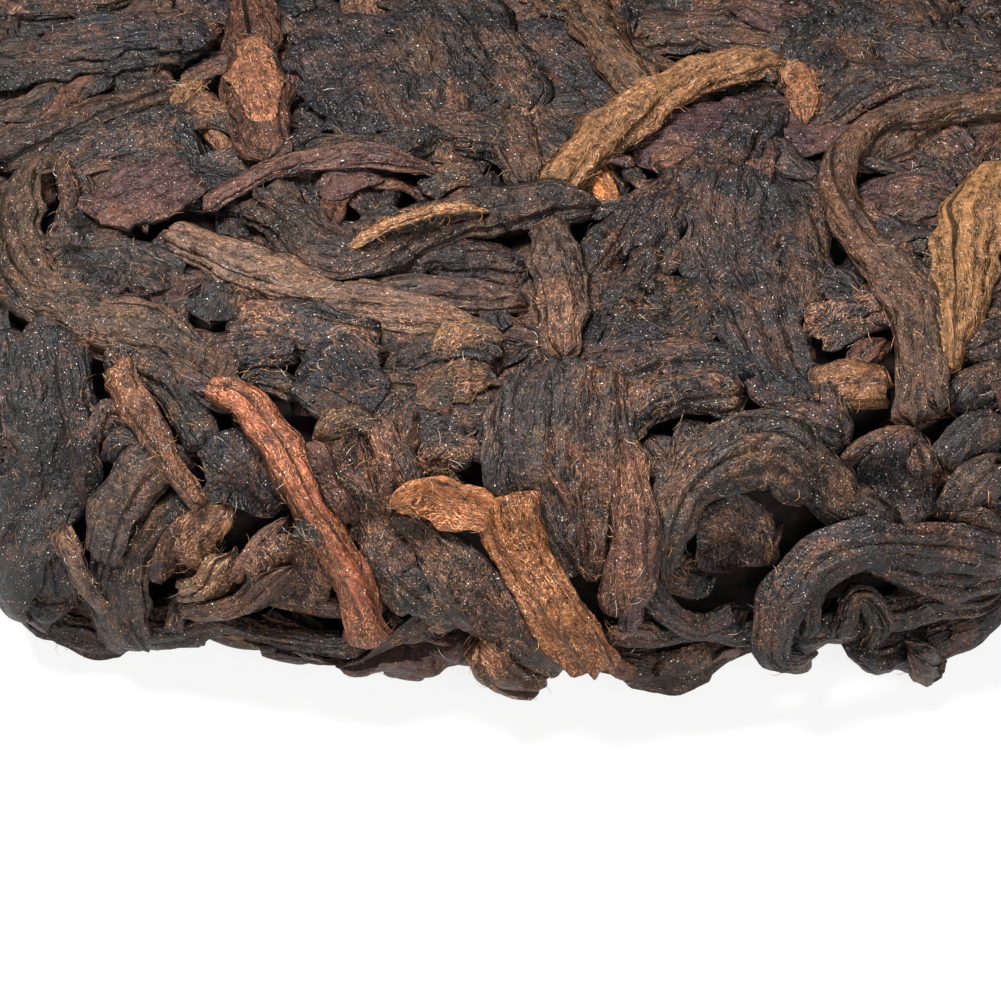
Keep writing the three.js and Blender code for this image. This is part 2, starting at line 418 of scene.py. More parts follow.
# How every leaf lies.
ACROSS = np.linspace(-1, 1, 7)  # where the pile is read and noted across a leaf
YIELD = 0.78  # how much of its height over the cap a leaf loses to the press
BRIDGE = 0.45  # how far a leaf rests on the highest place under it, and not on the mean
BANK = 0.7  # how far a leaf tilts with what lies under it
READ_REACH, ROLL_STIFFNESS, BLADE_STIFFNESS = 0.45, 1.1, 0.8  # lengths over which the rest is evened out
ROLL_DIP_LENGTH, BLADE_DIP_LENGTH = 1.4, 1.2  # over which its ends dip
SQUEEZED = 0.35  # height over the floor under which leaves are pressed flat

# Rolled leaves.
FINE_FOLD = np.array([0, 0.14, 0.5, 0.86])  # where the mesh has columns in each fold of a roll
COARSE_FOLD = np.array([0, 0.3, 0.7])
FOLD_SHARPNESS = (0.4, 0.6, 1.2, 1.8)  # from a rounded fold with a sharp valley to a sharp ridge
END_LENGTHS = (0.3, 0.5, 1.2, 3.2)  # over which a roll narrows to its end
UNEVEN_LOBES = 0.32
FOLD_LENGTH = 6.0  # over which a fold grows stronger or weaker
TWIST_LENGTH = 6.0  # over which the named twist, in radians, is made
TILT = 0.14
THIN_END = 0.35  # share of its thickness at the very end
UNEVEN_THICKNESS, UNEVEN_SIDES = 0.1, 0.14
TORN_END, TORN_LENGTH = 0.16, 0.5
VALLEY_SHADE = 0.6  # how much painted shade darkens the colour in the valleys between a roll's pleats
ROLL_CREASE = 1.3

# Flat leaves.
BLADE_BODY = 0.3  # thickness with its creases
BLADE_LIFT, BLADE_CROWN = 0.12, 0.25  # of its middle and of its upper side over what it lies on
PLEAT_SWAY, PLEAT_LENGTH = 0.16, 7.0
BACK_GRAIN = 40  # keeps the grain of the underside apart from that of the upper side

# Colours of leaves.
TONE_SPREAD, HUE_SPREAD, TONE_DRIFT = 0.16, 0.05, 0.12
TURN_FROM, TURN_OVER = 0.45, 0.4  # where along a leaf its tip's colour begins, and how long it takes
DARKEST = 0.004


def above_floor(z):
    """Heights squeezed against the floor, in their order, so that the lowest leaves stay above it."""
    low = np.minimum(z, SQUEEZED)
    return np.where(z > SQUEEZED, z, SQUEEZED * np.exp(low / SQUEEZED - 1))


class Leaf:
    """One leaf on its way along the face: its places, frame and measures."""

    def __init__(self, places, step):
        self.places, self.normals, self.s = BODY.seat(places)
        self.step = step
        run = np.gradient(self.places, axis=0)
        run -= (run * self.normals).sum(-1, keepdims=True) * self.normals
        self.run = unit(run)
        self.side = np.cross(self.run, self.normals)
        self.at = np.arange(len(places)) * step
        self.length = self.at[-1]
        self.u = self.at / self.length

    def near_ends(self, reach):
        """How near each place is to the first end, and to the last."""
        return np.exp(-self.at / reach), np.exp(-(self.length - self.at) / reach)

    def spot(self, lateral, height):
        """Points at a distance across the leaf and a height above the face."""
        place, normal, _ = BODY.seat(self.places[:, None, :] + self.side[:, None, :] * lateral[..., None])
        point = place + normal * height[..., None]
        point[..., 2] = above_floor(point[..., 2])
        return point


def settle(leaf, half_width, thickness, cap, stiff):
    """The heights of the leaf's underside along it, its slope across, and the heights of what is under it."""
    lateral = half_width[:, None] * ACROSS[None, :]
    places, _, s = BODY.seat(leaf.places[:, None, :] + leaf.side[:, None, :] * lateral[..., None])
    under = pile.read(places, s)
    under = smooth_along(under, leaf.step, READ_REACH)
    inner = under[:, 1:-1]
    support = BRIDGE * inner.max(axis=1) + (1 - BRIDGE) * inner.mean(axis=1)
    support = smooth_along(support, leaf.step, stiff)
    bank = smooth_along((under * ACROSS).sum(axis=1) / (ACROSS**2).sum(), leaf.step, stiff) * BANK
    over = np.maximum(support + thickness - cap, 0)
    support = support - over * YIELD
    return places, support, bank, under


def lay_roll(name, path, step, width, thickness, tone, down=0.15, cap=0.4, twist=0.6, lobes=7, inside=FINE_FOLD,
             depth=0.28, lumps=0.05, start=None, end=None, dip=0.7, rise=None, edge=0.72, crush=0.2):
    """A rolled and folded leaf: a flattened twist with pleats that run along it.

    Cap is the height it is pressed down to. Lobes and depth are the number and depth of its pleats, a low edge makes
    its section boxy, dip sinks its ends, rise lifts it, down is its share of hairs and crush the height of creases.
    """
    leaf = Leaf(path, step)
    u, at = leaf.u, leaf.at
    start = rng.choice(END_LENGTHS) if start is None else start
    end = rng.choice(END_LENGTHS) if end is None else end
    tilt = rng.normal(0, TILT)
    swell = taper(u, leaf.length, start, end)
    width = spread(width, u)
    half = width / 2 * swell
    thick = spread(thickness, u) * (THIN_END + (1 - THIN_END) * swell) * (1 + UNEVEN_THICKNESS * ripple(at, 3.5))
    places, support, bank, _ = settle(leaf, half, thick, cap, ROLL_STIFFNESS)
    ends = sum(leaf.near_ends(ROLL_DIP_LENGTH))
    middle = support + thick * 0.5 - dip * ends
    if rise is not None:
        middle = middle + np.interp(u, np.linspace(0, 1, len(rise)), rise)
    bank = bank + tilt * half

    edges = np.linspace(0, 1, lobes + 1)
    edges[1:-1] += rng.uniform(-UNEVEN_LOBES, UNEVEN_LOBES, lobes - 1) / lobes
    turns = (edges[:-1, None] + np.diff(edges)[:, None] * inside).ravel()
    lobe_of = np.repeat(np.arange(lobes), len(inside))
    strength = np.stack([np.clip(0.7 + 0.5 * ripple(at, FOLD_LENGTH), 0.1, 1.4) for _ in range(lobes)], axis=1)
    sharp = rng.choice(FOLD_SHARPNESS, lobes)[lobe_of]
    pleat = np.sin(np.pi * np.tile(inside, lobes)) ** sharp
    scale = 1 - depth * (1 - pleat[None, :]) * strength[:, lobe_of]
    scale = scale + lumps * relief(at[:, None], turns[None, :])
    angle = 2 * np.pi * turns[None, :] + twist * (at[:, None] / TWIST_LENGTH) + rng.uniform(0, 2 * np.pi)
    cosine, sine = np.cos(angle), np.sin(angle)
    x = cosine * scale
    y = np.sign(sine) * np.maximum(1 - np.abs(cosine) ** 2.2, 0) ** edge * scale
    left, right = 1 + UNEVEN_SIDES * ripple(at, 2.6), 1 + UNEVEN_SIDES * ripple(at, 2.2)
    lateral = half[:, None] * x * np.where(x > 0, left[:, None], right[:, None])
    height = middle[:, None] + bank[:, None] * x + y * thick[:, None] * 0.5
    if crush:
        height = height + crush * (creases(at[:, None], lateral, ROLL_CREASE) - 0.55) * np.minimum(thick, 1)[:, None]
    rings = leaf.spot(lateral, height)
    torn = rng.normal(0, 1, (2, len(turns)))
    torn = torn + np.roll(torn, 1, axis=1) + np.roll(torn, -1, axis=1)
    first, last = leaf.near_ends(TORN_LENGTH)
    pull = first[:, None] * torn[0] * TORN_END + last[:, None] * torn[1] * TORN_END
    rings = rings + leaf.run[:, None, :] * (pull * np.minimum(width, 3)[:, None] / 3)[..., None]
    rings[..., 2] = np.maximum(rings[..., 2], 0.0)
    grain = np.stack(np.broadcast_arrays(at[:, None], turns[None, :] * width.max() * 2.6, rng.uniform(0, 500)), -1)
    tones = leaf_tones(u, rings.shape[:2], tone)
    # Painted shade: the colour is darkened in the valleys between the pleats.
    tones = tones * (1 - VALLEY_SHADE * (1 - pleat[None, :]) ** 2 * strength[:, lobe_of])[..., None]
    downs = np.full(rings.shape[:2], down)
    crown = middle[:, None] + bank[:, None] * ACROSS + thick[:, None] * 0.46 * np.sqrt(1 - ACROSS**2 * 0.96)
    batch(name).tube(rings, grain, tones, downs, (places, crown))
    pile.add(places, crown)


def lay_blade(name, path, step, width, thickness, tone, down=0.1, cap=0.5, columns=13, fold=0.3, start=2.0, end=2.0,
              dip=0.3, ragged=0.12, wave=1.6, tip_tone=None, follow=0.7, pleats=0, pleat=0.3):
    """A thin flat leaf or a torn piece of one, crushed over what it lies on.

    Fold and wave are the height and width of its creases, pleats and pleat the number and height of its long folds,
    follow is how closely it keeps to what it lies on, and ragged how torn its sides are.
    """
    leaf = Leaf(path, step)
    u, at = leaf.u, leaf.at
    swell = taper(u, leaf.length, start, end, 0.6)
    half = spread(width, u) / 2 * swell
    places, support, bank, under = settle(leaf, half, np.full_like(half, BLADE_BODY), cap, BLADE_STIFFNESS)
    ends = sum(leaf.near_ends(BLADE_DIP_LENGTH))
    x = np.linspace(1, -1, columns)
    left = 1 + ragged * ripple(at, 1.3) + ragged * ripple(at, 3.1)
    right = 1 + ragged * ripple(at, 1.1) + ragged * ripple(at, 2.7)
    reach = np.where(x[None, :] > 0, right[:, None], left[:, None])
    lateral = half[:, None] * x[None, :] * reach
    place = (x + 1) / 2 * (len(ACROSS) - 1)
    low = np.minimum(place.astype(int), len(ACROSS) - 2)
    bed = under[:, low] * (1 - (place - low)) + under[:, low + 1] * (place - low)
    flat = support[:, None] + bank[:, None] * x[None, :]
    base = flat + (np.minimum(bed, cap) - flat) * follow
    face = base + fold * (creases(at[:, None], lateral, wave) - 0.45) + BLADE_LIFT
    face = face - dip * ends[:, None]
    if pleats:
        lane = x[None, :] * pleats / 2 + PLEAT_SWAY * ripple(at, PLEAT_LENGTH)[:, None] + rng.uniform(0, 1)
        face = face + pleat * (1 - np.abs(np.sin(np.pi * lane))) ** 1.6 * np.minimum(swell * 1.2, 1)[:, None]
    body = thickness * np.sqrt(1 - 0.8 * x**2)[None, :] * np.maximum(swell, 0.3)[:, None]
    upper = leaf.spot(lateral, face + body * 0.5)
    lower = leaf.spot(lateral[:, ::-1], (face - body * 0.5)[:, ::-1])
    rings = np.concatenate([upper, lower], axis=1)
    across = np.concatenate([lateral, lateral[:, ::-1] + BACK_GRAIN], axis=1)
    grain = np.stack(np.broadcast_arrays(at[:, None], across, rng.uniform(0, 500)), -1)
    tones = leaf_tones(u, rings.shape[:2], tone, tip_tone)
    crown = np.minimum(under, cap) * follow + (support[:, None] + bank[:, None] * ACROSS) * (1 - follow) + BLADE_CROWN
    batch(name).tube(rings, grain, tones, np.full(rings.shape[:2], down), (places, crown))
    pile.add(places, crown)


def leaf_tones(u, shape, tone, tip_tone=None):
    """One leaf's colour, with a slow change along it."""
    tone = np.array(tone) * (1 + TONE_SPREAD * rng.normal()) * (1 + HUE_SPREAD * rng.normal(size=3))
    tones = np.broadcast_to(tone, shape + (3,)) * (1 + TONE_DRIFT * ripple(u * 10, 6.0))[:, None, None]
    if tip_tone is not None:
        turn = np.clip((u - TURN_FROM) / TURN_OVER, 0, 1)[:, None, None]
        tones = tones * (1 - turn) + np.array(tip_tone) * turn
    return np.maximum(tones, DARKEST)


def wander(s, angle, heading, length, step, bend):
    """Paths over the face for several leaves at once, each from its own place and in its own direction."""
    count = int(round(length.max() / step)) + 1
    here = BODY.place(s, angle)
    place, normal, _ = BODY.seat(here)
    level = unit(np.cross(np.array([0, 0, 1.0]), normal) + 1e-6)
    rise = np.cross(normal, level)
    run = level * np.cos(heading)[:, None] + rise * np.sin(heading)[:, None]
    here = place - run * (length / 2)[:, None]
    trail = []
    sway = rng.uniform(0, 2 * np.pi, len(s))
    for k in range(count):
        place, normal, _ = BODY.seat(here)
        run = unit(run - (run * normal).sum(-1, keepdims=True) * normal)
        side = np.cross(normal, run)
        turn = bend * (0.6 + np.sin(k * step / 2.6 + sway)) * step
        run = unit(run + side * turn[:, None])
        trail.append(place)
        here = place + run * step
    return np.stack(trail, axis=1)


VIEW_STEP = 0.25
VIEW_LIFT = 0.3  # how high over the mean face the leaves in view are looked at
KNOT_STEPS = 14


def route(pixels):
    """An even path over the face through the places under some pixels of the photograph."""
    knots = np.asarray(pixels, float)
    first, last = 2 * knots[0] - knots[1], 2 * knots[-1] - knots[-2]
    knots = np.vstack([first, knots, last])
    curve = []
    for k in range(1, len(knots) - 2):
        before, here, there, after = knots[k - 1 : k + 3]
        t = np.linspace(0, 1, KNOT_STEPS, endpoint=False)[:, None]
        bow = here * 2 + (there - before) * t + (2 * before - 5 * here + 4 * there - after) * t**2
        curve.append((bow + (3 * here - before - 3 * there + after) * t**3) / 2)
    curve = np.vstack(curve + [knots[-2][None, :]])
    places = under_pixels(curve, VIEW_LIFT)
    far = np.concatenate([[0], np.cumsum(np.linalg.norm(np.diff(places, axis=0), axis=1))])
    even = np.arange(0, far[-1], VIEW_STEP)
    return np.stack([np.interp(even, far, places[:, axis]) for axis in range(3)], -1)


def zone_of(places):
    """Which part of the cake a leaf belongs to: the part in view, or the rest of the top, rim or base."""
    middle = places[len(places) // 2]
    _, normal, s = BODY.seat(middle)
    px, py = pixels_of(middle)
    in_frame = FRONT_X[0] < px < FRONT_X[1] and FRONT_Y[0] < py < FRONT_Y[1]
    if in_frame and normal @ FORWARD < FRONT_TURN:
        return "front"
    if s < BODY.shoulder + 2:
        return "top"
    return "rim" if s < BODY.foot - 1 else "base"


# The colours of scattered leaves, with their shares added up, and how much warmth takes off each share.
TONE_MIX = ((INK, 0.40, 0.2), (COAL, 0.72, 0.2), (BARK, 0.92, 0.1), (PLUM, 0.96, 0.0))


def pick_tone(warmth):
    """A colour from the mix of a ripe cake: mostly near black and dark brown, with some reddish ones."""
    draw = rng.uniform()
    for tone, share, loss in TONE_MIX:
        if draw < share - loss * warmth:
            return tone
    return RUSSET


PATH_STEP = 0.4
UNDER_STRIDE, REST_STRIDE = 2, 3  # coarser paths for leaves under others, and for those out of view
BELT_STATIONS = 200
ROLLS_TO, BLADES_TO, STALKS_TO = 0.66, 0.84, 0.93  # shares of the kinds, added up, with golden tips as the rest


def scatter(count, low_s, high_s, cap, heading_of, sizes, where=None, under=False):
    """Lays leaves over a belt of the face in random order."""
    belt = np.linspace(low_s, high_s, BELT_STATIONS)
    radius_at = np.interp(belt, BODY.s, BODY.r)
    s = np.interp(rng.uniform(size=count), np.cumsum(radius_at / radius_at.sum()), belt)
    angle = rng.uniform(-np.pi, np.pi, count)
    kind = rng.uniform(size=count)
    length = rng.uniform(*sizes["length"], count)
    heading = heading_of(count)
    bend = rng.normal(0, 0.055, count)
    paths = wander(s, angle, heading, length, PATH_STEP, bend)
    for k in range(count):
        path = paths[k, : int(length[k] / PATH_STEP) + 1]
        zone = zone_of(path)
        if where is not None and (zone == "front") != where:
            continue
        fine = zone == "front" and not under
        stride = 1 if fine else UNDER_STRIDE if zone == "front" else REST_STRIDE
        path, step = path[::stride], PATH_STEP * stride
        make = {"inside": FINE_FOLD if fine else COARSE_FOLD, "crush": 0.2 if fine else 0.0}
        top = cap + rng.uniform(-0.25, 0.25)
        tone = pick_tone(0.0)
        width = rng.uniform(*sizes["width"])
        if kind[k] < ROLLS_TO:
            lay_roll("rolled_leaves_" + zone, path, step, width, rng.uniform(0.9, 1.5), tone, cap=top,
                     twist=rng.normal(0, 0.7), lobes=rng.integers(4, 7) if fine else 4, down=rng.uniform(0.05, 0.4),
                     **make)
        elif kind[k] < BLADES_TO:
            lay_blade("leaf_blades_" + zone, path, step, width * 1.6, 0.28, tone, cap=top,
                      columns=13 if fine else 6, down=rng.uniform(0.0, 0.3), fold=0.22, pleats=3)
        elif kind[k] < STALKS_TO:
            lay_roll("stalks_" + zone, path, step, width * 0.5, width * 0.42, RUSSET if rng.uniform() < 0.5 else BARK,
                     cap=top, twist=0.1, lobes=4 if fine else 3, depth=0.12, lumps=0.04, start=0.4, end=0.5, down=0.2,
                     edge=0.5, **make)
        else:
            lay_roll("golden_tips_" + zone, path[: int(len(path) * 0.6)], step, width * 0.55, width * 0.4,
                     TAN if rng.uniform() < 0.6 else AMBER, cap=top, twist=0.5, lobes=4 if fine else 3, end=3.0,
                     down=0.7, **make)


def any_way(count):
    """Headings in every direction."""
    return rng.uniform(0, np.pi, count)


def round_the_rim(count):
    """Headings that keep near to the way round the rim."""
    return rng.normal(0, 0.45, count)


BIG = {"length": (9, 19), "width": (2.0, 3.6)}
SMALL = {"length": (6, 13), "width": (1.6, 3.0)}

# Under layer, everywhere.
scatter(560, 0, BODY.shoulder, -0.8, any_way, BIG, under=True)
scatter(520, BODY.shoulder - 2, BODY.foot + 1, -1.6, round_the_rim, SMALL, under=True)
# Upper layer away from the part in view.
scatter(430, 0, BODY.shoulder + 1, 0.15, any_way, BIG, where=False)
scatter(520, BODY.shoulder - 1, BODY.foot + 2, 0.25, round_the_rim, SMALL, where=False)
scatter(430, BODY.foot - 1, BODY.end, 0.1, any_way, BIG, where=False)
# Upper layer of the part in view, under the leaves that are laid one by one.
scatter(150, BODY.shoulder - 24, BODY.shoulder + 1, -0.3, any_way, BIG, where=True)
scatter(230, BODY.shoulder, BODY.foot + 1, -0.8, round_the_rim, SMALL, where=True)


SCRAP_STEP = 0.28
SCRAPS_X, SCRAPS_Y = (-20, 1020), (-20, 690)  # the pixels that scraps lie under


def scraps(count, cap):
    """Small broken pieces of leaf in and between the leaves in view."""
    pixels = np.stack([rng.uniform(*SCRAPS_X, count), rng.uniform(*SCRAPS_Y, count)], -1)
    places = under_pixels(pixels, 0.0)
    _, _, s = BODY.seat(places)
    angle = np.arctan2(places[:, 1], places[:, 0])
    length = rng.uniform(1.6, 5.0, count)
    paths = wander(s, angle, rng.uniform(-np.pi, np.pi, count), length, SCRAP_STEP, rng.normal(0, 0.2, count))
    for k in range(count):
        path = paths[k, : int(length[k] / SCRAP_STEP) + 1]
        tone = pick_tone(0.5)
        width = rng.uniform(0.6, 1.7)
        if rng.uniform() < 0.6:
            lay_roll("rolled_scraps", path, SCRAP_STEP, width, width * 0.5, tone, cap=cap, lobes=3,
                     dip=0.3, down=rng.uniform(0, 0.6))
        else:
            lay_blade("leaf_scraps", path, SCRAP_STEP, width * 1.4, 0.25, tone, cap=cap, columns=7,
                      start=0.5, end=0.5, down=rng.uniform(0, 0.6))


def roll(pixels, tone, width, thickness=1.3, piece="rolled_leaves_view", **more):
    """A rolled leaf of the part in view, on its way over some pixels of the photograph."""
    more = {"cap": 0.5, "lobes": 8, "depth": 0.36, "edge": 0.85, "dip": 0.5, "crush": 0.12, **more}
    lay_roll(piece, route(pixels), VIEW_STEP, width, thickness, tone, **more)


def blade(pixels, tone, width, thickness=0.34, **more):
    """A flat leaf of the part in view, on its way over some pixels of the photograph."""
    more = {"columns": 23, **more}
    lay_blade("leaf_blades_view", route(pixels), VIEW_STEP, width, thickness, tone, **more)


def stalk(pixels, tone, width, thickness=1.0, **more):
    """A leaf stalk: rounder and straighter than a rolled leaf."""
    more = {"depth": 0.14, "lumps": 0.03, "start": 0.4, "end": 0.4, "dip": 0.2, "edge": 0.55, "lobes": 6, **more}
    roll(pixels, tone, width, thickness, "stalks_view", **more)


def tip(pixels, tone, width, thickness=1.0, **more):
    """A downy leaf tip."""
    more = {"down": 0.8, "start": 0.8, "end": 2.5, **more}
    roll(pixels, tone, width, thickness, "golden_tips_view", **more)


def lay_far_top():
    """The far part of the top face, out of focus in the photograph."""
    blade([(-20, 60), (80, 50), (210, 30)], COAL, 4.4)
    blade([(50, 45), (130, 38), (215, 22)], INK, 3.6)
    roll([(-10, 150), (90, 118), (185, 85)], BARK, 3.4)
    roll([(30, 165), (120, 140), (200, 112)], COAL, 3.0)
    blade([(330, -10), (370, 60), (410, 140)], INK, 7.5, fold=0.5)
    blade([(430, -20), (450, 50), (470, 110)], COAL, 5.0, fold=0.4)
    roll([(470, -10), (505, 50), (530, 110)], INK, 3.0)
    roll([(640, 20), (700, 25), (790, 45)], BARK, 3.4)
    blade([(730, -10), (780, 15), (830, 10)], PLUM, 3.6)
    blade([(790, 75), (850, 30), (900, 10)], INK, 5.4, fold=0.4)
    blade([(880, 40), (950, 45), (1015, 30)], COAL, 4.6)
    roll([(815, 118), (890, 85), (1010, 75)], COAL, 4.0)
    roll([(575, -20), (610, 40), (642, 92)], (0.111, 0.054, 0.027), 3.0, thickness=1.5)
    roll([(545, 120), (560, 150), (590, 180)], COAL, 2.6)
    roll([(420, 120), (480, 130), (545, 150)], COAL, 3.2)
    roll([(300, 150), (380, 150), (450, 130)], INK, 2.6)
    roll([(500, 105), (520, 140), (530, 180)], BARK, 2.6)
    stalk([(255, -25), (252, 50), (256, 100), (268, 160)], RUSSET, [2.6, 2.8, 3.6, 2.8], thickness=1.6, cap=0.9)
    blade([(250, 45), (258, 90), (266, 140)], (0.140, 0.048, 0.021), [1.4, 2.6, 1.4], cap=1.0, down=0.6)
    tip([(172, 102), (190, 86), (206, 70)], TAN, 1.2, cap=0.8)


def lay_near_top():
    """The near part of the top face."""
    blade([(865, 210), (915, 195), (965, 200)], PLUM, 5.0, fold=0.4)
    roll([(880, 240), (920, 232), (965, 245)], COAL, 3.0)
    roll([(850, 158), (930, 118), (1015, 112)], (0.078, 0.037, 0.026), 3.0)
    roll([(585, 268), (620, 225), (668, 178)], INK, 2.2)
    roll([(628, 250), (690, 185), (745, 130), (785, 98)], INK, 3.8, thickness=1.5)
    roll([(655, 160), (690, 150), (700, 175)], (0.083, 0.035, 0.026), 1.8)
    tip([(550, 190), (600, 142), (660, 96), (722, 68), (788, 58)], (0.200, 0.086, 0.034), [2.2, 3.0, 3.2, 2.8, 1.6],
        thickness=1.4, cap=1.0, down=0.55)
    tip([(790, 60), (803, 90), (806, 120)], (0.185, 0.075, 0.034), 1.7, cap=0.8, down=0.4)
    blade([(745, 165), (735, 230), (748, 300), (785, 365), (850, 402)], INK, [3.4, 5.4, 5.6, 4.4, 3.2],
          thickness=0.5, fold=0.16, cap=1.2, wave=2.4, follow=0.4, pleats=4, pleat=0.42)
    roll([(795, 180), (805, 240), (800, 310)], COAL, 3.0, cap=0.7)
    roll([(800, 285), (830, 280), (860, 300)], INK, 3.4)
    tip([(800, 262), (825, 255), (842, 262)], (0.148, 0.061, 0.034), 0.9)
    stalk([(1010, 108), (920, 120), (855, 142), (838, 190), (860, 245), (903, 300), (918, 350), (920, 422)],
          (0.081, 0.038, 0.024), [1.8, 1.8, 1.9, 2.1, 2.2, 2.3], thickness=1.5, cap=1.1)
    stalk([(868, 248), (915, 282), (934, 330), (938, 415)], (0.064, 0.034, 0.023), 1.3, thickness=1.1, cap=1.0)
    roll([(850, 352), (872, 342), (892, 328)], RUSSET, 2.2)
    roll([(810, 378), (855, 374), (895, 376)], (0.130, 0.048, 0.022), 2.5, cap=0.9, start=0.4, end=0.3, down=0.4)
    roll([(1010, 165), (975, 235), (958, 310), (950, 375)], (0.310, 0.130, 0.054), [4.0, 4.2, 3.0, 1.2], cap=1.0,
         down=0.35, depth=0.34)
    roll([(955, 400), (985, 385), (1015, 372)], COAL, 2.4)
    roll([(955, 345), (985, 335), (1015, 325)], INK, 2.4)
    # The left half.
    roll([(60, 158), (24, 182), (14, 240), (34, 290), (90, 318), (150, 338), (208, 362)],
         (0.067, 0.037, 0.026), [2.0, 2.6, 3.0, 3.2, 3.0, 3.2, 2.6], thickness=1.5, cap=0.9)
    stalk([(62, 160), (70, 205), (52, 262)], BARK, 1.0, cap=0.9)
    blade([(62, 290), (95, 235), (130, 215)], COAL, 3.6, fold=0.5)
    blade([(80, 300), (125, 268), (182, 282)], COAL, 4.6, fold=0.55, cap=0.9)
    roll([(370, 268), (430, 256), (532, 262)], COAL, 2.5)
    roll([(366, 292), (440, 290), (535, 298)], (0.046, 0.028, 0.023), 2.6, cap=0.7)
    roll([(170, 228), (230, 262), (290, 288), (345, 304), (430, 318), (505, 336)], (0.157, 0.087, 0.053),
         [1.8, 3.3, 3.2, 2.4, 1.9, 1.2], cap=0.9, down=0.4)
    roll([(262, 192), (292, 228), (345, 262), (420, 236), (500, 212), (602, 204)], (0.046, 0.030, 0.024),
         [2.8, 3.5, 3.6, 3.4, 3.2, 2.0], thickness=1.8, cap=1.3, twist=0.5)
    tip([(350, 266), (400, 250), (448, 236), (490, 228)], (0.277, 0.141, 0.064), 0.8, cap=2.0, thickness=0.5,
        rise=[0.3, 0.5, 0.5, 0.3])
    roll([(546, 222), (560, 280), (562, 358)], (0.046, 0.030, 0.022), [2.4, 2.6, 2.4], thickness=1.6, cap=1.2,
         down=0.35, start=0.5, end=0.6)
    blade([(100, 224), (145, 192), (192, 166)], (0.091, 0.041, 0.035), [3.2, 4.0, 3.6], thickness=0.45, fold=0.16,
          start=0.5, end=0.5, cap=1.3, dip=0.0, ragged=0.07)
    roll([(205, 200), (252, 180), (300, 165), (372, 162), (442, 166)], (0.078, 0.034, 0.028), [1.4, 1.5, 1.6, 1.3],
         thickness=0.7, cap=1.2)
    roll([(228, 318), (300, 325), (385, 348)], INK, 3.0, cap=0.8, down=0.4)
    roll([(212, 346), (262, 348), (300, 338)], INK, 1.7)
    roll([(395, 360), (440, 348), (500, 352)], INK, 2.6)
    tip([(436, 352), (462, 336), (505, 340)], (0.120, 0.075, 0.044), 1.8, cap=0.9, end=1.2)
    roll([(605, 310), (640, 275), (655, 235)], COAL, 2.0)
    blade([(612, 350), (668, 318), (712, 285)], COAL, 4.6, fold=0.4, down=0.6, cap=0.8)
    blade([(600, 370), (640, 350), (700, 350)], INK, 3.4, fold=0.35)


def lay_shoulder():
    """Leaves at the turn from the top face to the rim."""
    blade([(305, 350), (340, 372), (375, 412)], INK, 3.6, fold=0.15, cap=0.6)
    tip([(274, 378), (284, 410), (292, 432)], (0.185, 0.105, 0.051), 1.1)
    roll([(232, 380), (262, 372), (300, 385)], INK, 1.6)
    blade([(405, 440), (450, 405), (505, 395)], COAL, 3.6, fold=0.2, cap=0.6)
    blade([(420, 405), (455, 380), (500, 372)], (0.030, 0.022, 0.016), 2.4, fold=0.2, down=0.6)
    roll([(510, 430), (555, 392), (620, 374), (700, 362), (757, 378)], INK, [1.8, 2.4, 2.7, 2.7, 2.4], cap=1.0)
    roll([(590, 432), (655, 402), (742, 388)], COAL, 2.6, cap=1.0, down=0.3)
    roll([(770, 395), (800, 405), (835, 420)], COAL, 2.0)
    roll([(760, 430), (810, 420), (850, 440)], INK, 2.4)
    roll([(840, 465), (880, 440), (930, 432)], BARK, 1.5, cap=0.8)
    blade([(905, 425), (915, 480), (935, 535)], INK, [4.0, 4.8, 3.4], fold=0.5, cap=0.8)
    roll([(950, 480), (975, 440), (1015, 425)], COAL, 2.6)
    roll([(962, 530), (975, 492), (1015, 462)], BARK, 2.6, depth=0.34)


